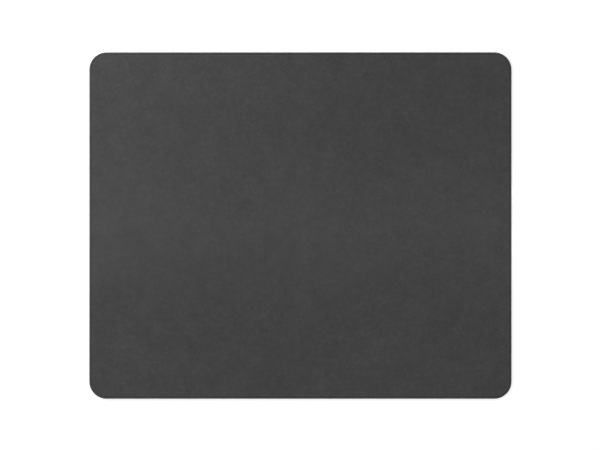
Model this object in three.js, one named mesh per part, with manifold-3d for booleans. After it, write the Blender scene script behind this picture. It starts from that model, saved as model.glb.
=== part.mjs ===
// Cloth-faced mouse pad: a knit face, the adhesive film under it and a sponge rubber base.
// Millimetres, +Z up. The origin lies on the desk under the middle of the pad, +X runs
// along the long side, and +Y along the short side, away from the user.

import * as THREE from 'three';
import { mergeVertices } from 'three/addons/utils/BufferGeometryUtils.js';
import Module from 'manifold-3d';

const wasm = await Module();
wasm.setup();

// Outline that the laminate is die-cut to, measured at its widest
const padLength = 220;
const padDepth = 180.5;
const cornerRadius = 9;
const cornerSegments = 12;

// Layers, from the desk up
const rubberThickness = 1.45;
const filmThickness = 0.1;
const clothThickness = 0.45;

// Cut edge of the rubber, which is rounded at its top and bottom and bulges between them
const rubberEdgeHeight = 0.3;
const rubberEdgeDraw = 0.2;
const rubberEdgeSegments = 2;

// Film and cloth end a little inside the rubber's bulge, and the die pinches the cloth's edge
const filmInset = 0.3;
const clothInset = 0.35;
const clothEdgeHeight = 0.15;
const clothEdgeDraw = 0.15;
const clothEdgeSegments = 2;

// Wavy anti-slip grooves moulded across the underside of the rubber, between flat ribs
const grooveSpacing = 6;
const grooveWidth = 2.2;
const grooveDepth = 0.3;
const waveLength = 24;
const waveHeight = 4;

// How far a cutter runs past what it cuts
const overrun = 1;

// The pad's outline, drawn in by an inset all round
function padOutline(inset) {
  const halfLength = padLength / 2 - inset;
  const halfDepth = padDepth / 2 - inset;
  const radius = cornerRadius - inset;
  const arcX = halfLength - radius;
  const arcY = halfDepth - radius;
  const quarter = Math.PI / 2;
  const outline = new THREE.Shape();
  outline.moveTo(halfLength, -arcY);
  outline.absarc(arcX, arcY, radius, 0, quarter, false);
  outline.absarc(-arcX, arcY, radius, quarter, 2 * quarter, false);
  outline.absarc(-arcX, -arcY, radius, 2 * quarter, 3 * quarter, false);
  outline.absarc(arcX, -arcY, radius, 3 * quarter, 4 * quarter, false);
  return outline;
}

// A flat layer with its underside at height zero. A rounded edge draws in at the top and the
// bottom, and the layer is widest between them.
function layer(inset, thickness, edge = { height: 0, draw: 0, segments: 0 }) {
  const geometry = new THREE.ExtrudeGeometry(padOutline(inset + edge.draw), {
    depth: thickness - 2 * edge.height,
    curveSegments: cornerSegments / 2,
    bevelEnabled: edge.height > 0,
    bevelThickness: edge.height,
    bevelSize: edge.draw,
    bevelSegments: edge.segments,
  });
  return geometry.translate(0, 0, edge.height);
}

// One groove's cutter, a zigzag ribbon that runs past both ends of the pad
function grooveCutter(middleY) {
  const halfWave = waveLength / 2;
  const peaksPerSide = Math.ceil(padLength / 2 / halfWave) + 1;
  const middle = [];
  for (let peak = -peaksPerSide; peak < peaksPerSide; peak += 1) {
    const side = peak % 2 === 0 ? 1 : -1;
    middle.push(new THREE.Vector2((peak + 1 / 2) * halfWave, middleY + (side * waveHeight) / 2));
  }
  const halfWidth = new THREE.Vector2(0, grooveWidth / 2);
  const near = middle.map((point) => point.clone().sub(halfWidth));
  const far = middle.map((point) => point.clone().add(halfWidth)).reverse();
  const ribbon = new THREE.ExtrudeGeometry(new THREE.Shape([...near, ...far]), {
    depth: grooveDepth + overrun,
    bevelEnabled: false,
  });
  return ribbon.translate(0, 0, -overrun);
}

// A closed geometry as a solid that can be cut
function toSolid(geometry) {
  const bare = geometry.clone();
  bare.deleteAttribute('normal');
  bare.deleteAttribute('uv');
  const merged = mergeVertices(bare);
  return new wasm.Manifold(new wasm.Mesh({
    numProp: 3,
    vertProperties: new Float32Array(merged.attributes.position.array),
    triVerts: new Uint32Array(merged.index.array),
  }));
}

// A solid as a geometry again
function toGeometry(solid) {
  const mesh = solid.getMesh();
  const geometry = new THREE.BufferGeometry();
  geometry.setAttribute('position', new THREE.BufferAttribute(mesh.vertProperties, mesh.numProp));
  geometry.setIndex(new THREE.BufferAttribute(mesh.triVerts, 1));
  geometry.computeVertexNormals();
  return geometry;
}

// The sponge rubber base: a rib lies on the middle line, and a groove on each side of it
function rubberBase() {
  const edge = { height: rubberEdgeHeight, draw: rubberEdgeDraw, segments: rubberEdgeSegments };
  let base = toSolid(layer(0, rubberThickness, edge));
  const groovesPerSide = Math.ceil((padDepth + waveHeight) / 2 / grooveSpacing);
  for (let groove = -groovesPerSide; groove < groovesPerSide; groove += 1) {
    base = base.subtract(toSolid(grooveCutter((groove + 1 / 2) * grooveSpacing)));
  }
  return toGeometry(base);
}

// The adhesive film, which shows as a line between the rubber and the cloth
function adhesiveFilm() {
  return layer(filmInset, filmThickness);
}

// The knit cloth, with the edge that the die pinched
function clothFace() {
  return layer(clothInset, clothThickness, {
    height: clothEdgeHeight,
    draw: clothEdgeDraw,
    segments: clothEdgeSegments,
  });
}

const blackRubber = new THREE.MeshStandardMaterial({
  color: 0x232324,
  roughness: 0.85,
  metalness: 0,
});

const setAdhesive = new THREE.MeshStandardMaterial({
  color: 0x35322e,
  roughness: 0.5,
  metalness: 0,
});

const greyKnit = new THREE.MeshStandardMaterial({
  color: 0x454545,
  roughness: 0.95,
  metalness: 0,
});

// A named piece whose underside lies at the given height
function piece(name, geometry, material, height) {
  const mesh = new THREE.Mesh(geometry, material);
  mesh.name = name;
  mesh.position.z = height;
  return mesh;
}

const mousePad = new THREE.Group();
mousePad.add(
  piece('rubber_base', rubberBase(), blackRubber, 0),
  piece('adhesive_film', adhesiveFilm(), setAdhesive, rubberThickness),
  piece('cloth_face', clothFace(), greyKnit, rubberThickness + filmThickness),
);

export default mousePad;
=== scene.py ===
"""Dresses a cloth-faced mouse pad and sets it on a white studio floor.

The pad is a laminate of three sheets: a grey knit cloth, the adhesive film under it, and a black
sponge rubber base with wavy anti-slip grooves in its underside. Every length is in metres.
"""

import logging
import math
from collections.abc import Iterable
from dataclasses import dataclass, field
from enum import Enum, auto
from typing import ClassVar

import bmesh
import bpy
from bmesh.types import BMEdge, BMesh, BMVert
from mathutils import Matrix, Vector, noise


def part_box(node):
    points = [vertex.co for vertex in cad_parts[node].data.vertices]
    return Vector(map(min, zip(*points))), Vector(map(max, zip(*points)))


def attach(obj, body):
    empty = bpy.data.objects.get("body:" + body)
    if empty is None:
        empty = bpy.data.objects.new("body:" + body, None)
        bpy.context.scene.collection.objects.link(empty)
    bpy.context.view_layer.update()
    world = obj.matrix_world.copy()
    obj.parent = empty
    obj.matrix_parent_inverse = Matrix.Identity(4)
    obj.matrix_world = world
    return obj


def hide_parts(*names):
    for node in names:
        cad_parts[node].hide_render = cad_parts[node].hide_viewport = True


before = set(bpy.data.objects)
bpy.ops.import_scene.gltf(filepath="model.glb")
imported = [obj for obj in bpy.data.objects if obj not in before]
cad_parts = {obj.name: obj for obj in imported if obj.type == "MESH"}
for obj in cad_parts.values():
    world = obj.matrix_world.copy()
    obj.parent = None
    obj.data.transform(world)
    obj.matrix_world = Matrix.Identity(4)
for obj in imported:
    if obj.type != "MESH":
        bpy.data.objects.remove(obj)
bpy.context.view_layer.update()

Range = tuple[float, float]
Colour = tuple[float, float, float]
Place = tuple[float, float, float]
Piece = bpy.types.Object
Socket = bpy.types.NodeSocket
Outputs = bpy.types.NodeOutputs
Value = Socket | float
Spot = Socket | Place
Fed = Socket | float | tuple[float, ...]

MM = 0.001
QUARTER_TURN = math.pi / 2
SHARP_FOLD = math.radians(50)
BODY = "root"
WHITE = (1.0, 1.0, 1.0, 1.0)

# Ranges that values run over
UNIT: Range = (0.0, 1.0)
FALLING: Range = (1.0, 0.0)
SINE_RANGE: Range = (-1.0, 1.0)

# The middle value of a noise, and the range in which most of it lies
NOISE_MIDDLE = 0.5
NOISE_RANGE: Range = (0.2, 0.8)

log = logging.getLogger("mouse_pad")


class Sheet(Enum):
    """The laminate's sheets, by the names of their solids."""

    CLOTH = "cloth_face"
    FILM = "adhesive_film"
    RUBBER = "rubber_base"


class Slot(Enum):
    """The record's material slots."""

    KNIT = "grey_knit"
    ADHESIVE = "set_adhesive"
    RUBBER = "black_rubber"


# Outline and edges


@dataclass(frozen=True)
class RoundedOutline:
    """A rectangle with round corners, centred on the origin."""

    length: float
    depth: float
    radius: float

    @classmethod
    def of_solid(cls, sheet: Sheet, radius: float) -> "RoundedOutline":
        """Returns the outline of a sheet's solid, which has this corner radius."""
        low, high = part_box(sheet.value)
        return cls(high.x - low.x, high.y - low.y, radius)

    def inset(self, distance: float) -> "RoundedOutline":
        """Returns the same outline drawn in by a distance all round."""
        return RoundedOutline(self.length - 2 * distance, self.depth - 2 * distance, self.radius - distance)

    def area(self) -> float:
        """Returns the area inside the outline."""
        return self.length * self.depth - (4 - math.pi) * self.radius**2

    def arc_middle(self) -> tuple[float, float]:
        """Returns the middle of the arc in the corner where both coordinates are positive."""
        return self.length / 2 - self.radius, self.depth / 2 - self.radius

    def past_arc_middle(self, x: float, y: float) -> tuple[float, float]:
        """Returns how far a place lies beyond the middle of its own corner's arc, along both axes."""
        middle_x, middle_y = self.arc_middle()
        return abs(x) - middle_x, abs(y) - middle_y

    def round_off(self, x: float, y: float) -> tuple[float, float]:
        """Bends a plain rectangle so that its corners become round.

        Lines that run along the rectangle's sides stay at the same distance from the outline.

        Args:
            x: Place along the length, on the plain rectangle.
            y: Place along the depth, on the plain rectangle.

        Returns:
            The place on the rounded rectangle.
        """
        past_x, past_y = self.past_arc_middle(x, y)
        if past_x <= 0 or past_y <= 0:
            return x, y
        middle_x, middle_y = self.arc_middle()
        reach = max(past_x, past_y)
        turn = QUARTER_TURN / 2 * min(past_x, past_y) / reach
        near, far = reach * math.sin(turn), reach * math.cos(turn)
        bent_x, bent_y = (far, near) if past_x >= past_y else (near, far)
        return math.copysign(middle_x + bent_x, x), math.copysign(middle_y + bent_y, y)

    def inside(self, place: Vector) -> float:
        """Measures how far a place lies inside the outline.

        Args:
            place: The place.

        Returns:
            The distance, which is negative outside.
        """
        past_x, past_y = self.past_arc_middle(place.x, place.y)
        beyond = math.hypot(max(past_x, 0.0), max(past_y, 0.0)) + min(max(past_x, past_y), 0.0)
        return self.radius - beyond

    def outward(self, place: Vector) -> Vector:
        """Finds the direction that leads straight out of the outline.

        Args:
            place: A place near the outline.

        Returns:
            The direction, of length 1.
        """
        past_x, past_y = self.past_arc_middle(place.x, place.y)
        if past_x > 0 and past_y > 0:
            way = Vector((past_x, past_y, 0)).normalized()
        else:
            way = Vector((1, 0, 0)) if past_x > past_y else Vector((0, 1, 0))
        return Vector((math.copysign(way.x, place.x), math.copysign(way.y, place.y), 0))

    def create_face(self, bm: BMesh, height: float, step: float, corner_steps: int) -> list[BMEdge]:
        """Makes the outline as one flat face, with its straight sides divided into even steps.

        Args:
            bm: The mesh that gets the face.
            height: The height that the face lies at.
            step: The length of a step along the straight sides.
            corner_steps: The number of steps round each corner.

        Returns:
            The edges round the face.
        """
        bmesh.ops.create_grid(bm, x_segments=1, y_segments=1, size=1 / 2)
        bmesh.ops.scale(bm, verts=bm.verts, vec=Vector((self.length, self.depth, 1)))
        bmesh.ops.translate(bm, verts=bm.verts, vec=Vector((0, 0, height)))
        bmesh.ops.bevel(
            bm,
            geom=list(bm.verts),
            offset=self.radius,
            offset_type="OFFSET",
            segments=corner_steps,
            profile=0.5,
            affect="VERTICES",
            material=-1,
        )
        corner_step = QUARTER_TURN * self.radius / corner_steps
        sides = [edge for edge in bm.edges if edge.calc_length() > 2 * corner_step]
        for side in sides:
            bmesh.ops.bisect_edges(bm, edges=[side], cuts=round(side.calc_length() / step) - 1)
        return list(bm.edges)


@dataclass(frozen=True)
class CutEdge:
    """The unevenness that a cutting die leaves along a sheet's edge: a noise of several layers."""

    roughness: float
    grain: float
    seed: float
    fading: float = 1.0
    refining: float = 2.0
    layers: int = 3

    def swell(self, place: Vector) -> float:
        """Returns how far the edge stands out at a place."""
        spot = place / self.grain + Vector((0, 0, self.seed))
        return self.roughness * noise.fractal(spot, self.fading, self.refining, self.layers)


@dataclass(frozen=True)
class Ring:
    """One line round a sheet's side: how far it stands out of the start, and its height."""

    out: float
    height: float


def extrude_loop(bm: BMesh, loop: list[BMEdge]) -> tuple[set[BMVert], list[BMEdge]]:
    """Extrudes a loop of edges.

    Args:
        bm: The mesh that holds the loop.
        loop: The loop's edges.

    Returns:
        The corners of the new loop, and its edges.
    """
    made = bmesh.ops.extrude_edge_only(bm, edges=loop)["geom"]
    corners = {item for item in made if isinstance(item, BMVert)}
    return corners, [item for item in made if isinstance(item, BMEdge) and corners.issuperset(item.verts)]


def raise_wall(
    bm: BMesh, start: list[BMEdge], outline: RoundedOutline, rings: Iterable[Ring], edge: CutEdge
) -> None:
    """Extrudes a sheet's side from a loop of edges, ring by ring, and closes it with a flat face.

    Args:
        bm: The mesh that holds the loop.
        start: The loop's edges.
        outline: The outline that the loop follows.
        rings: The rings to go through, the last of which gets the face.
        edge: The unevenness of the side.
    """
    home = bm.verts.layers.float_vector.new("home")
    for vert in {vert for side in start for vert in side.verts}:
        vert[home] = vert.co
    loop = start
    for ring in rings:
        corners, loop = extrude_loop(bm, loop)
        for vert in corners:
            spot = Vector((vert[home].x, vert[home].y, ring.height))
            vert.co = spot + outline.outward(spot) * (ring.out + edge.swell(spot))
    bmesh.ops.edgeloop_fill(bm, edges=loop)
    bm.verts.layers.float_vector.remove(home)


def new_piece(name: str, bm: BMesh) -> Piece:
    """Turns a finished mesh into a smooth object at the origin, with its sharp folds kept.

    Args:
        name: The piece's name.
        bm: The mesh, which is used up.

    Returns:
        The object.
    """
    bmesh.ops.recalc_face_normals(bm, faces=bm.faces)
    mesh = bpy.data.meshes.new(name)
    bm.to_mesh(mesh)
    bm.free()
    mesh.shade_smooth()
    mesh.set_sharp_from_angle(angle=SHARP_FOLD)
    piece = bpy.data.objects.new(name, mesh)
    bpy.context.scene.collection.objects.link(piece)
    return piece


@dataclass(frozen=True)
class UnfoldedMap:
    """A flat UV map in which a sheet's seen face fills the square, with its side folded out round it.

    The glued face, which nothing shows, gets a strip along the top of the square.
    """

    outline: RoundedOutline
    seen: float
    glued: float
    name: str = "OFBake"
    side_width: float = 3 * MM
    side_reach: float = 0.4 * MM
    flat: float = 0.005 * MM
    margin: float = 0.004
    seen_share: float = 0.94

    def lay_on(self, piece: Piece) -> None:
        """Gives a piece the map.

        Args:
            piece: The sheet's piece.
        """
        mesh = piece.data
        spots = [self.unfold(vert.co) for vert in mesh.vertices]
        layer = mesh.uv_layers.new(name=self.name)
        for face in mesh.polygons:
            glued = abs(face.center.z - self.glued) < self.flat
            for corner in face.loop_indices:
                vertex = mesh.loops[corner].vertex_index
                place = mesh.vertices[vertex].co if glued else spots[vertex]
                layer.uv[corner].vector = self.in_square(place, glued)

    def unfold(self, place: Vector) -> Vector:
        """Folds the side out flat.

        Args:
            place: A place on the sheet.

        Returns:
            Where the place comes to lie.
        """
        height = abs(place.z - self.seen)
        inside = self.outline.inside(place)
        if inside > self.side_reach or height < self.flat:
            return place
        out = self.side_width * height / abs(self.glued - self.seen)
        return place + self.outline.outward(place) * (inside + out)

    def in_square(self, place: Vector, glued: bool) -> tuple[float, float]:
        """Fits a place into the unit square.

        Args:
            place: The place, on the unfolded sheet.
            glued: Whether it lies on the glued face.

        Returns:
            The place in the square.
        """
        facing = math.copysign(1, self.seen - self.glued)
        across = facing * place.x / (self.outline.length + 2 * self.side_width) + 1 / 2
        along = place.y / (self.outline.depth + 2 * self.side_width) + 1 / 2
        low, high = (self.seen_share, 1.0) if glued else (0.0, self.seen_share)
        inner = 1 - 2 * self.margin
        return self.margin + inner * across, low + self.margin + (high - low - 2 * self.margin) * along


# Shader building


class Kind(Enum):
    """The kinds of socket on a shared effect."""

    VALUE = "NodeSocketFloat"
    VECTOR = "NodeSocketVector"


class Change(Enum):
    """The ways in which a mapped value gets from one end of its range to the other."""

    EVEN = "LINEAR"
    SOFT = "SMOOTHSTEP"


class Sum(Enum):
    """The sums that nodes work out."""

    ABSOLUTE = auto()
    ADD = auto()
    DIVIDE = auto()
    FLOOR = auto()
    FRACT = auto()
    MAXIMUM = auto()
    MINIMUM = auto()
    MULTIPLY = auto()
    MULTIPLY_ADD = auto()
    PINGPONG = auto()
    POWER = auto()
    SINE = auto()
    SQRT = auto()
    SUBTRACT = auto()


@dataclass(frozen=True)
class Layers:
    """What a noise is made of: how many finer layers it adds, and how strong each is beside the last."""

    detail: float = 2.0
    roughness: float = 0.5


class Tree:
    """Adds nodes to one node tree and links them."""

    def __init__(self, tree: bpy.types.NodeTree) -> None:
        """Keeps the tree that the nodes go into."""
        self.tree = tree

    def node(self, kind: str, **settings: object) -> bpy.types.Node:
        """Adds a node.

        Args:
            kind: The node's type.
            settings: Its own settings, by name.

        Returns:
            The node.
        """
        made = self.tree.nodes.new(kind)
        for name, value in settings.items():
            setattr(made, name, value)
        return made

    def feed(self, socket: Socket, value: Fed) -> None:
        """Links an output to an input, or gives the input a plain value.

        Args:
            socket: The input.
            value: The output, or the plain value.
        """
        if isinstance(value, Socket):
            self.tree.links.new(value, socket)
        else:
            socket.default_value = value

    def wire(self, made: bpy.types.Node, *values: Fed, **named: Fed) -> Outputs:
        """Feeds a node's inputs, in order from the first one and by name.

        Args:
            made: The node.
            values: What its first inputs get.
            named: What other inputs get, by their names, with _ for a space.

        Returns:
            The node's outputs.
        """
        for socket, value in zip(made.inputs, values):
            self.feed(socket, value)
        for name, value in named.items():
            self.feed(made.inputs[name.replace("_", " ")], value)
        return made.outputs

    def math(self, operation: Sum, *values: Value) -> Socket:
        """Works out a sum of values."""
        return self.wire(self.node("ShaderNodeMath", operation=operation.name), *values)["Value"]

    def vector(self, operation: Sum, *values: Fed) -> Socket:
        """Works out a sum of vectors."""
        return self.wire(self.node("ShaderNodeVectorMath", operation=operation.name), *values)["Vector"]

    def product(self, first: Socket, *others: Value) -> Socket:
        """Multiplies values with each other.

        Args:
            first: The first value.
            others: The other ones, in the order in which they come in.

        Returns:
            The product.
        """
        result = first
        for other in others:
            result = self.math(Sum.MULTIPLY, result, other)
        return result

    def join(self, x: Value, y: Value, z: Value = 0.0) -> Socket:
        """Makes a vector of three values."""
        return self.wire(self.node("ShaderNodeCombineXYZ"), x, y, z)["Vector"]

    def split(self, vector: Socket) -> Outputs:
        """Returns a vector's X, Y and Z."""
        return self.wire(self.node("ShaderNodeSeparateXYZ"), vector)

    def length(self, vector: Socket) -> Socket:
        """Returns a vector's length."""
        return self.wire(self.node("ShaderNodeVectorMath", operation="LENGTH"), vector)["Value"]

    def remap(
        self, change: Change, value: Value, source: tuple[Value, Value], target: tuple[Value, Value]
    ) -> Socket:
        """Maps one range of a value onto another, in one way of changing, and stays inside the target."""
        made = self.node("ShaderNodeMapRange", interpolation_type=change.value)
        return self.wire(made, value, *source, *target)["Result"]

    def scale(self, value: Value, target: Range, source: Range = UNIT) -> Socket:
        """Maps one range of a value evenly onto another."""
        return self.remap(Change.EVEN, value, source, target)

    def vary(self, value: Value, target: Range) -> Socket:
        """Maps the range in which most of a noise lies evenly onto another."""
        return self.scale(value, target, NOISE_RANGE)

    def blend(self, share: Value, low: Value, high: Value) -> Socket:
        """Returns a value that goes from low to high as the share goes from 0 to 1."""
        return self.remap(Change.EVEN, share, UNIT, (low, high))

    def step(self, value: Value, source: tuple[Value, Value], target: Range = UNIT) -> Socket:
        """Changes softly from one end of the target to the other, over one range of a value."""
        return self.remap(Change.SOFT, value, source, target)

    def fade(self, value: Value, reach: Value) -> Socket:
        """Returns 1 where a value is 0, falling softly to 0 at a reach."""
        return self.step(value, (0.0, reach), FALLING)

    def bell(self, value: Value, middle: float, reach: float) -> Socket:
        """Returns 1 where a value is at its middle, falling softly to 0 within a reach on both sides."""
        return self.fade(self.math(Sum.ABSOLUTE, self.math(Sum.SUBTRACT, value, middle)), reach)

    def noise(self, place: Spot, size: Value, layers: Layers = Layers()) -> Outputs:
        """Adds a noise texture.

        Args:
            place: The place that it is read at.
            size: The length of its largest waves.
            layers: What it is made of.

        Returns:
            Its outputs, of which Fac is one value and Color holds three.
        """
        made = self.node("ShaderNodeTexNoise", noise_dimensions="3D")
        scale = self.math(Sum.DIVIDE, 1.0, size)
        return self.wire(made, Vector=place, Scale=scale, Detail=layers.detail, Roughness=layers.roughness)

    def shake(self, place: Spot, waves: Socket, reach: Value) -> Socket:
        """Moves a place about with a noise's colour, by up to half a reach each way."""
        way = self.vector(Sum.SUBTRACT, waves, (NOISE_MIDDLE,) * 3)
        return self.vector(Sum.MULTIPLY_ADD, way, reach, place)

    def cells(self, place: Spot, size: Value) -> tuple[Socket, Socket]:
        """Fills space with cells.

        Args:
            place: The place that they are read at.
            size: The size of a cell.

        Returns:
            The distance from the nearest cell's middle, in cells, and that cell's own random value.
        """
        made = self.node("ShaderNodeTexVoronoi", feature="F1", voronoi_dimensions="3D")
        nearest = self.wire(made, Vector=place, Scale=self.math(Sum.DIVIDE, 1.0, size))
        return nearest["Distance"], self.split(nearest["Color"])["X"]

    def random(self, number: Socket) -> Socket:
        """Returns a random value of its own for each vector of whole numbers."""
        return self.wire(self.node("ShaderNodeTexWhiteNoise", noise_dimensions="3D"), Vector=number)["Value"]

    def bump(self, height: Value, distance: float) -> Socket:
        """Turns a relief of this depth into a normal."""
        return self.wire(self.node("ShaderNodeBump"), Height=height, Distance=distance)["Normal"]

    def tint(self, base: Colour, factor: Value) -> Socket:
        """Returns a base colour scaled by a factor that changes over the surface."""
        made = self.node("ShaderNodeVectorMath", operation="SCALE")
        return self.wire(made, base, Scale=factor)["Vector"]

    def place(self) -> Socket:
        """Returns the place on the object, in metres."""
        return self.node("ShaderNodeTexCoord").outputs["Object"]

    def effect(self, effect: "Effect", **values: Fed) -> Outputs:
        """Places a shared effect in this tree, with its inputs by name, and returns its outputs."""
        return self.wire(self.node("ShaderNodeGroup", node_tree=effect.group()), **values)


# Effects that finishes are built from


class Effect:
    """A node group with named inputs and outputs, built the first time that a material asks for it."""

    name: ClassVar[str]
    vectors: ClassVar[tuple[str, ...]] = ("Place",)
    values: ClassVar[tuple[str, ...]]
    outputs: ClassVar[tuple[str, ...]]

    def group(self) -> bpy.types.NodeTree:
        """Finds the effect's node group, or builds it.

        Returns:
            The group.
        """
        found = bpy.data.node_groups.get(self.name)
        if found is None:
            found = bpy.data.node_groups.new(self.name, "ShaderNodeTree")
            for kind, names in ((Kind.VECTOR, self.vectors), (Kind.VALUE, self.values)):
                for name in names:
                    found.interface.new_socket(name, in_out="INPUT", socket_type=kind.value)
            for name in self.outputs:
                found.interface.new_socket(name, in_out="OUTPUT", socket_type=Kind.VALUE.value)
            tree = Tree(found)
            results = self.build(tree, tree.node("NodeGroupInput").outputs)
            taken = tree.node("NodeGroupOutput").inputs
            for name in self.outputs:
                tree.feed(taken[name], results[name])
        return found

    def build(self, tree: Tree, given: Outputs) -> dict[str, Socket]:
        """Builds the effect's nodes.

        Args:
            tree: The group's tree.
            given: The group's inputs.

        Returns:
            Each output's value, by name.
        """
        raise NotImplementedError


class RimDistance(Effect):
    """How far a place lies inside the pad's rounded outline."""

    name = "rim_distance"
    values = ("Half Length", "Half Depth", "Radius")
    outputs = ("Distance",)

    def build(self, tree: Tree, given: Outputs) -> dict[str, Socket]:
        """Measures the distance to the sides, and to the arcs at the corners.

        Args:
            tree: The group's tree.
            given: The group's inputs.

        Returns:
            The distance.
        """
        place = tree.split(given["Place"])
        past = []
        for axis, half in (("X", "Half Length"), ("Y", "Half Depth")):
            middle = tree.math(Sum.SUBTRACT, given[half], given["Radius"])
            past.append(tree.math(Sum.SUBTRACT, tree.math(Sum.ABSOLUTE, place[axis]), middle))
        outside = tree.join(*(tree.math(Sum.MAXIMUM, value, 0.0) for value in past))
        inside = tree.math(Sum.MINIMUM, tree.math(Sum.MAXIMUM, *past), 0.0)
        beyond = tree.math(Sum.ADD, tree.length(outside), inside)
        return {"Distance": tree.math(Sum.SUBTRACT, given["Radius"], beyond)}


class KnitStitches(Effect):
    """Columns of V-shaped stitches of spun yarn, which wander a little."""

    name = "knit_stitches"
    values = ("Column", "Row", "Slant", "Wander", "Strands")
    outputs = ("Height", "Strands", "Stitch Tone")
    waves_in_columns: ClassVar[float] = 6.0
    legs_per_column: ClassVar[float] = 2.0
    leg_fullness: ClassVar[float] = 0.6
    strand_size: ClassVar[float] = 1.0
    strand_shift: ClassVar[float] = 40.0

    def build(self, tree: Tree, given: Outputs) -> dict[str, Socket]:
        """Rounds each leg of yarn across its width and dips both of its ends.

        Args:
            tree: The group's tree.
            given: The group's inputs.

        Returns:
            The yarn's height, the strands in it, and a random value for each leg.
        """
        waves = tree.noise(given["Place"], tree.math(Sum.MULTIPLY, given["Column"], self.waves_in_columns))
        place = tree.split(tree.shake(given["Place"], waves["Color"], given["Wander"]))
        across = tree.math(Sum.DIVIDE, place["X"], given["Column"])
        fold = tree.product(tree.math(Sum.PINGPONG, across, 1 / self.legs_per_column), self.legs_per_column)
        rise = tree.math(Sum.MULTIPLY, fold, given["Slant"])
        along = tree.math(Sum.ADD, tree.math(Sum.DIVIDE, place["Y"], given["Row"]), rise)
        width = tree.math(Sum.FRACT, along)
        leg = tree.math(Sum.POWER, self.rounded(tree, fold), self.leg_fullness)
        leg_number = tree.math(Sum.FLOOR, tree.math(Sum.MULTIPLY, across, self.legs_per_column))
        tone = tree.random(tree.join(leg_number, tree.math(Sum.FLOOR, along)))
        twist = tree.math(Sum.ADD, tree.math(Sum.MULTIPLY, width, given["Strands"]), fold)
        shift = tree.math(Sum.MULTIPLY, tone, self.strand_shift)
        return {
            "Height": tree.math(Sum.MULTIPLY, leg, self.rounded(tree, width)),
            "Strands": tree.noise(tree.join(twist, fold, shift), self.strand_size)["Fac"],
            "Stitch Tone": tone,
        }

    @staticmethod
    def rounded(tree: Tree, share: Socket) -> Socket:
        """Gives a half circle's height over its width.

        Args:
            tree: The group's tree.
            share: A share of the width, from 0 to 1.

        Returns:
            The height, as a share of the circle's radius.
        """
        rest = tree.math(Sum.SUBTRACT, 1.0, share)
        middle = 1 / 2
        return tree.math(Sum.SQRT, tree.product(share, rest, 1 / middle**2))


class YarnEnds(Effect):
    """The round ends of yarn that show where a die cut through a cloth."""

    name = "yarn_ends"
    values = ("Yarn",)
    outputs = ("Height", "Tone")
    fray_share: ClassVar[float] = 0.4
    fray_layers: ClassVar[Layers] = Layers(detail=2.0, roughness=0.7)
    fray_heights: ClassVar[Range] = (0.6, 1.4)
    end_tones: ClassVar[Range] = (0.7, 1.3)

    def build(self, tree: Tree, given: Outputs) -> dict[str, Socket]:
        """Rounds each end and frays it with fine fibres.

        Args:
            tree: The group's tree.
            given: The group's inputs.

        Returns:
            The ends' height, and their tone: each end's own random tone, with painted shade where it falls
            away.
        """
        fray_size = tree.product(given["Yarn"], self.fray_share)
        fray = tree.noise(given["Place"], fray_size, self.fray_layers)
        place = tree.shake(given["Place"], fray["Color"], given["Yarn"])
        distance, random = tree.cells(place, given["Yarn"])
        height = tree.math(Sum.SUBTRACT, 1.0, tree.math(Sum.MULTIPLY, distance, distance))
        frayed = tree.product(height, tree.scale(fray["Fac"], self.fray_heights))
        # The tone follows the height: painted shade between the ends
        return {"Height": frayed, "Tone": tree.product(frayed, tree.scale(random, self.end_tones))}


class Mottle(Effect):
    """Unevenness at three sizes: grain, tufts and broad clouds, of which tufts hold the most layers."""

    name = "mottle"
    vectors = ("Place", "Cloud Shift")
    values = ("Grain", "Tuft", "Cloud")
    outputs = ("Grain", "Tufts", "Clouds")
    grain_layers: ClassVar[Layers] = Layers(detail=3.0, roughness=0.6)
    tuft_layers: ClassVar[Layers] = Layers(detail=4.0, roughness=0.95)
    cloud_layers: ClassVar[Layers] = Layers(detail=1.0)

    def build(self, tree: Tree, given: Outputs) -> dict[str, Socket]:
        """Reads one noise for each size.

        Args:
            tree: The group's tree.
            given: The group's inputs.

        Returns:
            The three noises.
        """
        shifted = tree.vector(Sum.ADD, given["Place"], given["Cloud Shift"])
        return {
            "Grain": tree.noise(given["Place"], given["Grain"], self.grain_layers)["Fac"],
            "Tufts": tree.noise(given["Place"], given["Tuft"], self.tuft_layers)["Fac"],
            "Clouds": tree.noise(shifted, given["Cloud"], self.cloud_layers)["Fac"],
        }


class LooseFibres(Effect):
    """Single fibres that lie loose on a surface, in patches."""

    name = "loose_fibres"
    values = ("Curl", "Thickness")
    outputs = ("Fibres",)
    ways: ClassVar[tuple[Place, ...]] = ((1.0, 0.0, 0.0), (0.0, 1.0, 0.0))
    curl_layers: ClassVar[Layers] = Layers(detail=1.0)
    patch_in_curls: ClassVar[float] = 1.7
    patch_layers: ClassVar[Layers] = Layers(detail=0.0)
    patch_edge: ClassVar[Range] = (0.5, 0.6)

    def build(self, tree: Tree, given: Outputs) -> dict[str, Socket]:
        """Follows the lines along which a noise crosses its middle value, as wide where it is steep.

        Args:
            tree: The group's tree.
            given: The group's inputs.

        Returns:
            The fibres, which are 1 along their middles.
        """
        curl = tree.noise(given["Place"], given["Curl"], self.curl_layers)["Fac"]
        rises = []
        for way in self.ways:
            beside = tree.vector(Sum.MULTIPLY_ADD, way, given["Thickness"], given["Place"])
            next_curl = tree.noise(beside, given["Curl"], self.curl_layers)["Fac"]
            rises.append(tree.math(Sum.SUBTRACT, next_curl, curl))
        away = tree.math(Sum.ABSOLUTE, tree.math(Sum.SUBTRACT, curl, NOISE_MIDDLE))
        line = tree.fade(tree.math(Sum.DIVIDE, away, tree.length(tree.join(*rises))), 1.0)
        patch_size = tree.math(Sum.MULTIPLY, given["Curl"], self.patch_in_curls)
        patch = tree.noise(given["Place"], patch_size, self.patch_layers)["Fac"]
        return {"Fibres": tree.product(line, tree.step(patch, self.patch_edge))}


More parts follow.
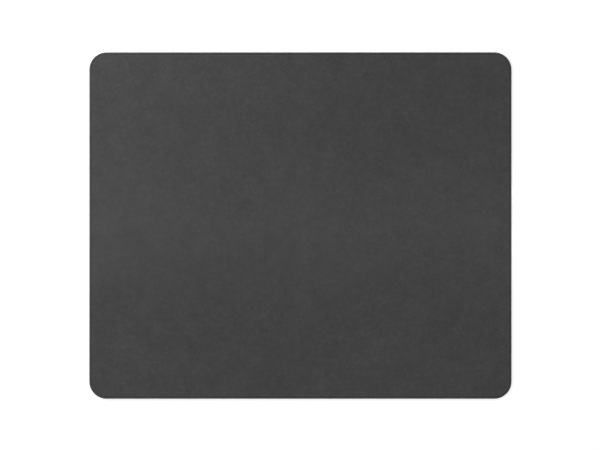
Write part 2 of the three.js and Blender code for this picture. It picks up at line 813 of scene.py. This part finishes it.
class FineDust(Effect):
    """A sparse scatter of dust and lint specks."""

    name = "fine_dust"
    values = ("Spacing", "Speck")
    outputs = ("Specks",)
    strong_cells: ClassVar[Range] = (0.6, 1.0)

    def build(self, tree: Tree, given: Outputs) -> dict[str, Socket]:
        """Marks the middle of some cells, each with a strength of its own.

        Args:
            tree: The group's tree.
            given: The group's inputs.

        Returns:
            The specks, which are up to 1 at their middles.
        """
        distance, random = tree.cells(given["Place"], given["Spacing"])
        spot = tree.fade(distance, tree.math(Sum.DIVIDE, given["Speck"], given["Spacing"]))
        return {"Specks": tree.product(spot, tree.step(random, self.strong_cells))}


class SpongeCells(Effect):
    """The open cells of cut sponge, of many sizes."""

    name = "sponge_cells"
    values = ("Cell",)
    outputs = ("Pits",)
    fine_share: ClassVar[float] = 0.45
    fine_depth: ClassVar[float] = 0.6
    openings: ClassVar[Range] = (0.2, 0.55)
    lip: ClassVar[Range] = (0.5, 1.0)

    def build(self, tree: Tree, given: Outputs) -> dict[str, Socket]:
        """Opens a round pit in each coarse cell and each fine one.

        Args:
            tree: The group's tree.
            given: The group's inputs.

        Returns:
            The pits, which are 1 at the bottom of a coarse one.
        """
        pits = []
        for share in (1.0, self.fine_share):
            distance, random = tree.cells(given["Place"], tree.math(Sum.MULTIPLY, given["Cell"], share))
            opened = tree.math(Sum.DIVIDE, distance, tree.scale(random, self.openings))
            pits.append(tree.step(opened, self.lip, FALLING))
        coarse, fine = pits
        return {"Pits": tree.math(Sum.MAXIMUM, coarse, tree.math(Sum.MULTIPLY, fine, self.fine_depth))}


class MouldGrain(Effect):
    """The imprint of the woven sheet that rubber was cured against."""

    name = "mould_grain"
    values = ("Pitch",)
    outputs = ("Height",)

    def build(self, tree: Tree, given: Outputs) -> dict[str, Socket]:
        """Crosses two even waves, one along each thread.

        Args:
            tree: The group's tree.
            given: The group's inputs.

        Returns:
            The imprint's height.
        """
        place = tree.split(given["Place"])
        waves = []
        for axis in ("X", "Y"):
            turns = tree.math(Sum.DIVIDE, place[axis], given["Pitch"])
            waves.append(tree.math(Sum.SINE, tree.math(Sum.MULTIPLY, turns, math.tau)))
        return {"Height": tree.scale(tree.product(*waves), UNIT, SINE_RANGE)}


# Finishes


@dataclass(frozen=True)
class Band:
    """A soft band along a line, with the tones beside it and in its middle."""

    middle: float
    reach: float
    tones: Range

    def tone(self, tree: Tree, distance: Socket) -> Socket:
        """Returns the band's tone at a distance."""
        return tree.scale(tree.bell(distance, self.middle, self.reach), self.tones)


@dataclass(frozen=True)
class Flecks:
    """A scatter of specks, with the tones beside them and in their middles."""

    spacing: float
    size: float
    tones: Range

    def tone(self, tree: Tree, place: Socket) -> Socket:
        """Returns the flecks' tone at a place."""
        dust = tree.effect(FineDust(), Place=place, Spacing=self.spacing, Speck=self.size)
        return tree.scale(dust["Specks"], self.tones)


@dataclass(frozen=True)
class Finish:
    """What every finish holds: its material slot and the pad's outline."""

    slot: ClassVar[Slot]
    outline: RoundedOutline

    def material(self) -> bpy.types.Material:
        """Builds the material.

        Returns:
            The material.
        """
        made = bpy.data.materials.new(self.slot.value)
        made.use_nodes = True
        self.dress(Tree(made.node_tree), made.node_tree.nodes["Principled BSDF"])
        return made

    def dress(self, tree: Tree, shader: bpy.types.Node) -> None:
        """Feeds the shader's inputs.

        Args:
            tree: The material's tree.
            shader: Its shader.
        """
        raise NotImplementedError

    def rim_distance(self, tree: Tree, place: Socket) -> Socket:
        """Returns how far the place lies inside the pad's outline."""
        halves = {"Half_Length": self.outline.length / 2, "Half_Depth": self.outline.depth / 2}
        return tree.effect(RimDistance(), Place=place, Radius=self.outline.radius, **halves)["Distance"]


@dataclass(frozen=True)
class KnitFinish(Finish):
    """A fine matt polyester knit in neutral grey, with a line pressed in along its edge."""

    slot = Slot.KNIT
    colour: Colour = (0.0548, 0.0548, 0.0548)
    roughness: Range = (0.86, 1.0)
    specular: float = 0.15
    sheen: float = 0.12
    sheen_roughness: float = 0.5

    # Stitches. Their height and the fibres' height are shares of the stitch depth
    column: float = 0.6 * MM
    row: float = 0.45 * MM
    slant: float = 1.15
    wander: float = 0.3 * MM
    strands: float = 5.0
    strand_height: float = 0.5
    stitch_depth: float = 0.045 * MM
    stitch_tones: Range = (0.95, 1.05)
    # Painted shade: the stitches darken towards the gaps between them
    valley_shade_tones: Range = (0.62, 1.14)
    strand_tones: Range = (0.78, 1.22)

    # Unevenness
    grain: float = 0.3 * MM
    grain_tones: Range = (0.94, 1.06)
    tuft: float = 11 * MM
    tuft_tones: Range = (0.83, 1.17)
    # Broad clouds: painted light and shade of uneven lighting across the cloth, laid as a shifted noise
    cloud: float = 70 * MM
    cloud_shift: Place = (-4.32, 1.86, 1.5)
    cloud_light_and_shade_tones: Range = (0.95, 1.05)

    # Loose fibres, light lint and dark slubs in the yarn
    fibre_curl: float = 1.4 * MM
    fibre_thickness: float = 0.034 * MM
    fibre_height: float = 0.6
    fibre_tones: Range = (1.0, 1.9)
    lint: Flecks = Flecks(spacing=9 * MM, size=0.25 * MM, tones=(1.0, 1.6))
    slubs: Flecks = Flecks(spacing=5 * MM, size=0.8 * MM, tones=(1.0, 0.76))

    # The cut, and the lines beside it: a painted highlight on the frayed edge, then painted shade in the
    # pressed line, partly the pressed fibres' own darker tone, then a painted highlight along the raised
    # line
    cut_edge: Range = (0.45 * MM, 0.75 * MM)
    end: float = 0.17 * MM
    # The ends' tones include painted shade in the gaps between them
    end_tones: Range = (0.4, 1.4)
    # Painted highlight along the frayed edge
    frayed: Band = Band(middle=0.5 * MM, reach=0.3 * MM, tones=(1.0, 1.3))
    # Painted shade in the pressed line, partly the pressed fibres' own darker tone
    pressed: Band = Band(middle=1.08 * MM, reach=0.45 * MM, tones=(1.0, 0.6))
    # Painted highlight along the raised line
    raised_line_highlight: Band = Band(middle=1.62 * MM, reach=0.4 * MM, tones=(1.0, 1.16))

    # Painted highlight on the creases left by folding the pad in four to pack it
    fold: Band = Band(middle=0.0, reach=6 * MM, tones=(1.0, 1.025))

    def dress(self, tree: Tree, shader: bpy.types.Node) -> None:
        """Feeds the shader's inputs.

        Args:
            tree: The material's tree.
            shader: Its shader.
        """
        place = tree.place()
        rim = self.rim_distance(tree, place)
        whole = tree.step(rim, self.cut_edge)
        knit = tree.effect(
            KnitStitches(),
            Place=place,
            Column=self.column,
            Row=self.row,
            Slant=self.slant,
            Wander=self.wander,
            Strands=self.strands,
        )
        mottle = tree.effect(
            Mottle(),
            Place=place,
            Grain=self.grain,
            Tuft=self.tuft,
            Cloud=self.cloud,
            Cloud_Shift=self.cloud_shift,
        )
        fibres = tree.effect(
            LooseFibres(), Place=place, Curl=self.fibre_curl, Thickness=self.fibre_thickness
        )["Fibres"]
        ends = tree.effect(YarnEnds(), Place=place, Yarn=self.end)
        tone = tree.product(
            tree.blend(whole, tree.scale(ends["Tone"], self.end_tones), self.yarn_tone(tree, knit)),
            tree.vary(mottle["Grain"], self.grain_tones),
            tree.vary(mottle["Tufts"], self.tuft_tones),
            tree.vary(mottle["Clouds"], self.cloud_light_and_shade_tones),
            tree.scale(fibres, self.fibre_tones),
            tree.product(self.lint.tone(tree, place), self.slubs.tone(tree, place)),
            self.fold_crease_highlight_tone(tree, place),
            self.rim_highlight_and_shade_tone(tree, rim),
        )
        yarn = tree.math(Sum.MULTIPLY_ADD, knit["Strands"], self.strand_height, knit["Height"])
        fuzz = tree.math(Sum.MULTIPLY_ADD, fibres, self.fibre_height, mottle["Grain"])
        relief = tree.math(Sum.ADD, tree.blend(whole, ends["Height"], yarn), fuzz)
        tree.wire(
            shader,
            Base_Color=tree.tint(self.colour, tone),
            Roughness=tree.vary(mottle["Grain"], self.roughness),
            Normal=tree.bump(relief, self.stitch_depth),
            Specular_IOR_Level=self.specular,
            Sheen_Weight=self.sheen,
            Sheen_Roughness=self.sheen_roughness,
        )

    def yarn_tone(self, tree: Tree, knit: Outputs) -> Socket:
        """Gives the tone of the stitches, with painted shade darkest in the gaps between them.

        Args:
            tree: The material's tree.
            knit: The stitches.

        Returns:
            The tone.
        """
        return tree.product(
            tree.scale(knit["Height"], self.valley_shade_tones),
            tree.vary(knit["Strands"], self.strand_tones),
            tree.scale(knit["Stitch Tone"], self.stitch_tones),
        )

    def fold_crease_highlight_tone(self, tree: Tree, place: Socket) -> Socket:
        """Gives the faint pale bands along the pad's two middle lines: a painted highlight on the fold
        creases.
        """
        axes = tree.split(place)
        return tree.product(*(self.fold.tone(tree, axes[axis]) for axis in ("X", "Y")))

    def rim_highlight_and_shade_tone(self, tree: Tree, rim: Socket) -> Socket:
        """Gives the painted highlights and shade of the lines beside the cut."""
        lines = (self.frayed, self.pressed, self.raised_line_highlight)
        return tree.product(*(line.tone(tree, rim) for line in lines))


@dataclass(frozen=True)
class AdhesiveFinish(Finish):
    """Set hot-melt adhesive, dark amber and slightly satin."""

    slot = Slot.ADHESIVE
    colour: Colour = (0.034, 0.031, 0.027)
    roughness: Range = (0.4, 0.65)
    ripple: float = 1.2 * MM
    ripple_layers: Layers = Layers(detail=3.0)
    ripple_depth: float = 0.05 * MM
    ripple_tones: Range = (0.7, 1.3)

    def dress(self, tree: Tree, shader: bpy.types.Node) -> None:
        """Feeds the shader's inputs.

        Args:
            tree: The material's tree.
            shader: Its shader.
        """
        ripples = tree.noise(tree.place(), self.ripple, self.ripple_layers)["Fac"]
        tree.wire(
            shader,
            Base_Color=tree.tint(self.colour, tree.vary(ripples, self.ripple_tones)),
            Roughness=tree.vary(ripples, self.roughness),
            Normal=tree.bump(ripples, self.ripple_depth),
        )


@dataclass(frozen=True)
class RubberFinish(Finish):
    """Black sponge rubber: open cells where it was cut, and a moulded skin below."""

    slot = Slot.RUBBER
    colour: Colour = (0.017, 0.017, 0.0175)
    roughness: Range = (0.7, 0.9)
    specular: float = 0.2

    # The cut side
    cut_edge: Range = (0.15 * MM, 0.35 * MM)
    cut_tones: Range = (1.0, 1.25)
    cell: float = 0.3 * MM
    cell_depth: float = 0.08 * MM
    # Painted shade in the open cells' hollows
    pit_shade_tones: Range = (1.0, 0.35)

    # The moulded skin, with heights as shares of a cell's depth
    imprint: float = 0.9 * MM
    imprint_height: float = 0.25
    grain: float = 0.4 * MM
    grain_height: float = 0.4
    grain_tones: Range = (0.85, 1.15)
    tuft: float = 6 * MM
    bloom: float = 30 * MM
    bloom_tones: Range = (0.95, 1.35)
    dust: Flecks = Flecks(spacing=5 * MM, size=0.25 * MM, tones=(1.0, 3.0))

    # The ribs that the pad stands on
    rubbed_height: float = 0.04 * MM
    rubbed_tones: Range = (1.0, 1.28)
    rubbed_gloss: float = 0.08

    def dress(self, tree: Tree, shader: bpy.types.Node) -> None:
        """Feeds the shader's inputs.

        Args:
            tree: The material's tree.
            shader: Its shader.
        """
        place = tree.place()
        mottle = tree.effect(Mottle(), Place=place, Grain=self.grain, Tuft=self.tuft, Cloud=self.bloom)
        imprint = tree.effect(MouldGrain(), Place=place, Pitch=self.imprint)["Height"]
        cut = tree.step(self.rim_distance(tree, place), self.cut_edge, FALLING)
        pits = tree.product(tree.effect(SpongeCells(), Place=place, Cell=self.cell)["Pits"], cut)
        rubbed = tree.fade(tree.split(place)["Z"], self.rubbed_height)
        tone = tree.product(
            tree.scale(pits, self.pit_shade_tones),
            tree.scale(cut, self.cut_tones),
            tree.vary(mottle["Grain"], self.grain_tones),
            tree.vary(mottle["Clouds"], self.bloom_tones),
            self.dust.tone(tree, place),
            tree.scale(rubbed, self.rubbed_tones),
        )
        gloss = tree.math(Sum.MULTIPLY, rubbed, self.rubbed_gloss)
        skin = tree.product(tree.math(Sum.SUBTRACT, 1.0, cut), imprint, self.imprint_height)
        grained = tree.math(Sum.MULTIPLY_ADD, mottle["Grain"], self.grain_height, skin)
        tree.wire(
            shader,
            Base_Color=tree.tint(self.colour, tone),
            Roughness=tree.math(Sum.SUBTRACT, tree.vary(mottle["Tufts"], self.roughness), gloss),
            Normal=tree.bump(tree.math(Sum.SUBTRACT, grained, pits), self.cell_depth),
            Specular_IOR_Level=self.specular,
        )


# Sheets of the laminate


@dataclass
class PadSheet:
    """What the laminate's sheets share: the pad's outline, their own place in it and their finish."""

    sheet: ClassVar[Sheet]
    faces_down: ClassVar[bool] = False
    pad: RoundedOutline
    finish: Finish
    outline: RoundedOutline = field(init=False)
    bottom: float = field(init=False)
    top: float = field(init=False)

    def __post_init__(self) -> None:
        """Reads the sheet's outline and heights from its solid."""
        low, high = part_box(self.sheet.value)
        inset = self.pad.length / 2 - high.x
        self.outline = RoundedOutline.of_solid(self.sheet, self.pad.radius - inset)
        self.bottom, self.top = low.z, high.z

    def build(self) -> Piece:
        """Returns:
            The piece.
        """
        piece = self.shape()
        seen, glued = (self.bottom, self.top) if self.faces_down else (self.top, self.bottom)
        UnfoldedMap(self.outline, seen, glued).lay_on(piece)
        piece.data.materials.clear()
        piece.data.materials.append(self.finish.material())
        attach(piece, BODY)
        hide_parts(self.sheet.value)
        self.declare(piece)
        return piece

    def shape(self) -> Piece:
        """Builds the sheet's mesh and returns its object."""
        raise NotImplementedError

    def declare(self, piece: Piece) -> None:
        """Does nothing with the piece."""


@dataclass
class ClothFace(PadSheet):
    """The knit cloth, with the edge that the die rolled down and the line that it pressed in."""

    sheet = Sheet.CLOTH
    pitch: float = 1.1 * MM
    roll: float = 0.3 * MM
    roll_steps: int = 4
    rim: float = 2.1 * MM
    rim_steps: int = 9
    pinch: float = 0.03 * MM
    press_line: float = 0.73 * MM
    press_reach: float = 0.45 * MM
    press_depth: float = 0.05 * MM
    swell: float = 0.06 * MM
    swell_length: float = 60 * MM
    peel: float = 0.012 * MM
    peel_length: float = 3.5 * MM
    edge: CutEdge = CutEdge(roughness=0.03 * MM, grain=1.1 * MM, seed=3.0)

    def stations(self, side: float) -> list[float]:
        """Places the mesh's lines along one side.

        Args:
            side: The side's length.

        Returns:
            Places from end to end: close together over the rolled edge, less so over the rim, then even.
        """
        turns = [QUARTER_TURN * step / self.roll_steps for step in range(self.roll_steps)]
        rolled = [self.roll * (1 - math.cos(turn)) for turn in turns]
        band = (self.rim - self.roll) / self.rim_steps
        near = rolled + [self.roll + band * step for step in range(self.rim_steps)]
        middle = side - 2 * self.rim
        count = round(middle / self.pitch)
        even = [self.rim + middle * step / count for step in range(count + 1)]
        places = near + even + [side - place for place in reversed(near)]
        return [place - side / 2 for place in places]

    def height(self, x: float, y: float, inside: float) -> float:
        """Gives the cloth's height at a place.

        Args:
            x: Place along the length.
            y: Place along the depth.
            inside: Distance from the cloth's edge.

        Returns:
            The height over the desk.
        """
        over = max(0.0, 1 - inside / self.roll)
        rolled = self.roll * (1 - math.sqrt(1 - over * over))
        near = max(0.0, 1 - inside / self.rim)
        groove = max(0.0, 1 - ((inside - self.press_line) / self.press_reach) ** 2) ** 2
        slow = noise.noise(Vector((x, y, 0)) / self.swell_length) * self.swell
        fine = noise.noise(Vector((x, y, self.top)) / self.peel_length) * self.peel
        pressed = self.pinch * near * near + self.press_depth * groove
        return self.top - rolled - pressed + (1 - near) * (slow + fine)

    def shape(self) -> Piece:
        """Bends a fine grid into the cloth, and closes its side and underside.

        Returns:
            The cloth's object.
        """
        across = self.stations(self.outline.length)
        along = self.stations(self.outline.depth)
        last_x, last_y = len(across) - 1, len(along) - 1
        bm = bmesh.new()
        bmesh.ops.create_grid(bm, x_segments=last_x, y_segments=last_y, size=1)
        for vert in bm.verts:
            x = across[round((vert.co.x + 1) / 2 * last_x)]
            y = along[round((vert.co.y + 1) / 2 * last_y)]
            inside = min(self.outline.length / 2 - abs(x), self.outline.depth / 2 - abs(y))
            round_x, round_y = self.outline.round_off(x, y)
            vert.co = (round_x, round_y, self.height(round_x, round_y, inside))
        start = [edge for edge in bm.edges if edge.is_boundary]
        middle = (self.top - self.roll + self.bottom) / 2
        raise_wall(bm, start, self.outline, [Ring(0.0, middle), Ring(0.0, self.bottom)], self.edge)
        return new_piece("knit_cloth_face", bm)

    def declare(self, piece: Piece) -> None:
        self.outline.area()


@dataclass
class AdhesiveFilm(PadSheet):
    """The adhesive between cloth and rubber, which shows as an uneven line at the edge."""

    sheet = Sheet.FILM
    step: float = 0.8 * MM
    corner_steps: int = 16
    squeeze: float = 0.05 * MM
    edge: CutEdge = CutEdge(roughness=0.05 * MM, grain=2.4 * MM, seed=8.0)

    def shape(self) -> Piece:
        """Raises a thin sheet whose side stands out where the adhesive was squeezed.

        Returns:
            The film's object.
        """
        bm = bmesh.new()
        start = self.outline.create_face(bm, self.bottom, self.step, self.corner_steps)
        middle = (self.bottom + self.top) / 2
        raise_wall(bm, start, self.outline, [Ring(self.squeeze, middle), Ring(0.0, self.top)], self.edge)
        return new_piece("adhesive_bond_line", bm)


@dataclass
class RubberBase(PadSheet):
    """The sponge rubber, with a bulging cut side and wavy grooves moulded in its underside."""

    sheet = Sheet.RUBBER
    faces_down = True

    # The slab and its side
    step: float = 1.0 * MM
    corner_steps: int = 16
    edge_height: float = 0.3 * MM
    edge_draw: float = 0.2 * MM
    edge_steps: int = 3
    wall_steps: int = 4
    edge: CutEdge = CutEdge(roughness=0.03 * MM, grain=0.9 * MM, seed=5.0)

    # The grooves
    groove_spacing: float = 6 * MM
    groove_width: float = 2.2 * MM
    groove_depth: float = 0.3 * MM
    groove_steps: int = 10
    slope_share: float = 0.6
    wave_length: float = 24 * MM
    wave_height: float = 4 * MM
    wave_steps: int = 12
    overrun: float = 1 * MM

    def side_rings(self) -> list[Ring]:
        """Lists the rings of the side, from the desk up: a round edge, the wall and a round edge.

        Returns:
            The rings.
        """
        lower = []
        for step in range(1, self.edge_steps + 1):
            turn = QUARTER_TURN * step / self.edge_steps
            height = self.bottom + self.edge_height * (1 - math.cos(turn))
            lower.append(Ring(self.edge_draw * math.sin(turn), height))
        start = self.bottom + self.edge_height
        wall = self.top - self.edge_height - start
        heights = [start + wall * step / self.wall_steps for step in range(1, self.wall_steps)]
        middle = [Ring(self.edge_draw, height) for height in heights]
        upper = [Ring(ring.out, self.bottom + self.top - ring.height) for ring in reversed(lower)]
        return lower + middle + upper + [Ring(0.0, self.top)]

    def slab(self) -> Piece:
        """Builds the sheet without its grooves.

        Returns:
            The slab's object.
        """
        foot = self.outline.inset(self.edge_draw)
        bm = bmesh.new()
        start = foot.create_face(bm, self.bottom, self.step, self.corner_steps)
        raise_wall(bm, start, foot, self.side_rings(), self.edge)
        return new_piece("sponge_rubber_base", bm)

    def groove_height(self, share: float) -> float:
        """Gives the groove's height over a share from -1 to 1 of its width: soft lips and a flat roof."""
        rise = min(1.0, (1 - abs(share)) / self.slope_share)
        return self.groove_depth * rise * rise * (3 - 2 * rise)

    def add_groove(self, bm: BMesh, middle: float) -> None:
        """Adds one groove's cutter to a mesh.

        Args:
            bm: The mesh that gets the cutter.
            middle: The groove's place along the depth.
        """
        length = self.outline.length + 2 * self.overrun
        steps = round(length / self.wave_length * self.wave_steps)
        grid = bmesh.ops.create_grid(bm, x_segments=steps, y_segments=self.groove_steps, size=1)["verts"]
        rim = {edge for vert in grid for edge in vert.link_edges if edge.is_boundary}
        for vert in grid:
            x = vert.co.x * length / 2
            share = vert.co.y
            wave = self.wave_height / 2 * math.sin(math.tau * x / self.wave_length)
            y = middle + wave + share * self.groove_width / 2
            vert.co = (x, y, self.bottom + self.groove_height(share))
        corners, foot = extrude_loop(bm, list(rim))
        for vert in corners:
            vert.co.z = self.bottom - self.overrun
        bmesh.ops.edgeloop_fill(bm, edges=foot)

    def cutters(self) -> Piece:
        """Builds the cutters of all grooves as one object.

        Returns:
            The object.
        """
        bm = bmesh.new()
        count = math.ceil((self.outline.depth + self.wave_height) / 2 / self.groove_spacing)
        for groove in range(-count, count):
            self.add_groove(bm, (groove + 1 / 2) * self.groove_spacing)
        return new_piece("groove_cutters", bm)

    def shape(self) -> Piece:
        """Cuts the grooves out of the slab, and keeps its ribs flat in shading.

        Returns:
            The rubber's object.
        """
        slab = self.slab()
        cutters = self.cutters()
        cut = slab.modifiers.new("grooves", "BOOLEAN")
        cut.operation = "DIFFERENCE"
        cut.solver = "EXACT"
        cut.object = cutters
        depsgraph = bpy.context.evaluated_depsgraph_get()
        slab.data = bpy.data.meshes.new_from_object(slab.evaluated_get(depsgraph))
        slab.modifiers.clear()
        bpy.data.objects.remove(cutters)
        slab.data.shade_smooth()
        slab.data.set_sharp_from_angle(angle=SHARP_FOLD)
        flat = slab.modifiers.new("flat_ribs", "WEIGHTED_NORMAL")
        flat.keep_sharp = True
        return slab

    def declare(self, piece: Piece) -> None:
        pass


@dataclass
class MousePad:
    """The whole laminate."""

    corner_radius: float = 9 * MM
    outline: RoundedOutline = field(init=False)

    def __post_init__(self) -> None:
        """Reads the pad's outline from its widest sheet."""
        self.outline = RoundedOutline.of_solid(Sheet.RUBBER, self.corner_radius)

    def sheets(self) -> list[PadSheet]:
        """Lists the sheets, from the desk up.

        Returns:
            The sheets, each with its finish.
        """
        return [
            RubberBase(self.outline, RubberFinish(self.outline)),
            AdhesiveFilm(self.outline, AdhesiveFinish(self.outline)),
            ClothFace(self.outline, KnitFinish(self.outline)),
        ]


# Studio


@dataclass(frozen=True)
class PhotoFrame:
    """The photograph's frame and the pad's outline in it, in pixels."""

    width: float = 600
    height: float = 450
    pad_left: float = 89.25
    pad_right: float = 511.6
    pad_top: float = 52.3
    pad_bottom: float = 398.8

    def scale(self, length: float) -> float:
        """Returns the metres in a pixel, for the pad's real length."""
        return length / (self.pad_right - self.pad_left)

    def offset(self, length: float) -> Vector:
        """Finds the frame's centre as it is seen from the pad's.

        Args:
            length: The pad's real length.

        Returns:
            How far the frame's centre lies from the pad's.
        """
        right = self.width / 2 - (self.pad_left + self.pad_right) / 2
        up = (self.pad_top + self.pad_bottom) / 2 - self.height / 2
        return Vector((right, up, 0)) * self.scale(length)


@dataclass(frozen=True)
class Softbox:
    """A rectangular lamp that faces a point and stays out of sight."""

    name: str
    place: Place
    target: Place
    width: float
    height: float
    power: float
    spread: float = math.pi

    def build(self) -> bpy.types.Object:
        """Adds the lamp to the scene.

        Returns:
            The lamp's object.
        """
        lamp = bpy.data.lights.new(self.name, "AREA")
        lamp.shape = "RECTANGLE"
        lamp.size = self.width
        lamp.size_y = self.height
        lamp.energy = self.power
        lamp.spread = self.spread
        stand = bpy.data.objects.new(self.name, lamp)
        stand.location = self.place
        way = Vector(self.target) - Vector(self.place)
        stand.rotation_euler = way.to_track_quat("-Z", "Y").to_euler()
        stand.visible_camera = False
        bpy.context.scene.collection.objects.link(stand)
        return stand


@dataclass
class Studio:
    """A white floor, soft lamps and the camera straight above."""

    pad: RoundedOutline
    photo: PhotoFrame = PhotoFrame()
    lens: float = 100.0
    sensor: float = 36.0
    floor_size: float = 6.0
    floor_white: float = 0.8
    floor_lift: float = 0.43
    sky: float = 0.79
    window: Softbox = Softbox(
        "window",
        place=(-221 * MM, 117 * MM, 150 * MM),
        target=(0.0, 0.0, 0.0),
        width=200 * MM,
        height=200 * MM,
        power=0.356,
    )
    strip: Softbox = Softbox(
        "strip",
        place=(0.0, 1 * MM, 600 * MM),
        target=(0.0, 1 * MM, 0.0),
        width=600 * MM,
        height=20 * MM,
        power=0.0101,
        spread=math.radians(9.2),
    )

    def build(self) -> list[bpy.types.Object]:
        """Sets up the floor, the light and the camera.

        Returns:
            The floor, the lamps and the camera.
        """
        bpy.context.scene.view_settings.view_transform = "Standard"
        floor = self.add_floor()
        self.add_world()
        return [floor, self.window.build(), self.strip.build(), self.add_camera()]

    @staticmethod
    def sees_backdrop(tree: Tree) -> Socket:
        """Finds the rays that show the backdrop: from the camera, off gloss and through glass.

        Args:
            tree: The tree of the floor's material or the world.

        Returns:
            1 for these rays and 0 for the others.
        """
        ray = tree.node("ShaderNodeLightPath").outputs
        shown = tree.math(Sum.MAXIMUM, ray["Is Camera Ray"], ray["Is Glossy Ray"])
        return tree.math(Sum.MAXIMUM, shown, ray["Is Transmission Ray"])

    def add_floor(self) -> Piece:
        """Adds a matt white floor that keeps the pad's soft shadow.

        Returns:
            The floor.
        """
        bm = bmesh.new()
        bmesh.ops.create_grid(bm, x_segments=1, y_segments=1, size=self.floor_size / 2)
        floor = new_piece("studio_floor", bm)
        paint = bpy.data.materials.new("studio_floor")
        paint.use_nodes = True
        tree = Tree(paint.node_tree)
        tree.wire(
            paint.node_tree.nodes["Principled BSDF"],
            Base_Color=(*(self.floor_white,) * 3, 1.0),
            Roughness=1.0,
            Specular_IOR_Level=0.0,
            Emission_Color=WHITE,
            Emission_Strength=tree.product(self.sees_backdrop(tree), self.floor_lift),
        )
        floor.data.materials.append(paint)
        return floor

    def add_world(self) -> None:
        """Adds an even white sky, as bright as white where the backdrop shows."""
        world = bpy.data.worlds.new("studio_sky")
        bpy.context.scene.world = world
        world.use_nodes = True
        tree = Tree(world.node_tree)
        strength = tree.scale(self.sees_backdrop(tree), (self.sky, 1.0))
        tree.wire(world.node_tree.nodes["Background"], Color=WHITE, Strength=strength)

    def add_camera(self) -> bpy.types.Object:
        """Puts the camera straight above, where the pad fills the frame as in the photograph.

        Returns:
            The camera's object.
        """
        optics = bpy.data.cameras.new("camera")
        optics.lens = self.lens
        optics.sensor_width = self.sensor
        camera = bpy.data.objects.new("camera", optics)
        across = self.photo.width * self.photo.scale(self.pad.length)
        pad_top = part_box(Sheet.RUBBER.value)[1].z
        camera.location = self.photo.offset(self.pad.length)
        camera.location.z = pad_top + across * self.lens / self.sensor
        bpy.context.scene.collection.objects.link(camera)
        bpy.context.scene.camera = camera
        return camera


def main() -> None:
    """Builds the studio and the pad in order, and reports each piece."""
    logging.basicConfig(level=logging.INFO, format="%(name)s %(message)s")
    pad = MousePad()
    for thing in Studio(pad.outline).build():
        log.info("studio, %s: %.3f m above the desk", thing.name, thing.location.z)
    for sheet in pad.sheets():
        piece = sheet.build()
        log.info("piece, %s: %d faces", piece.name, len(piece.data.polygons))


if __name__ == "__main__":
    main()
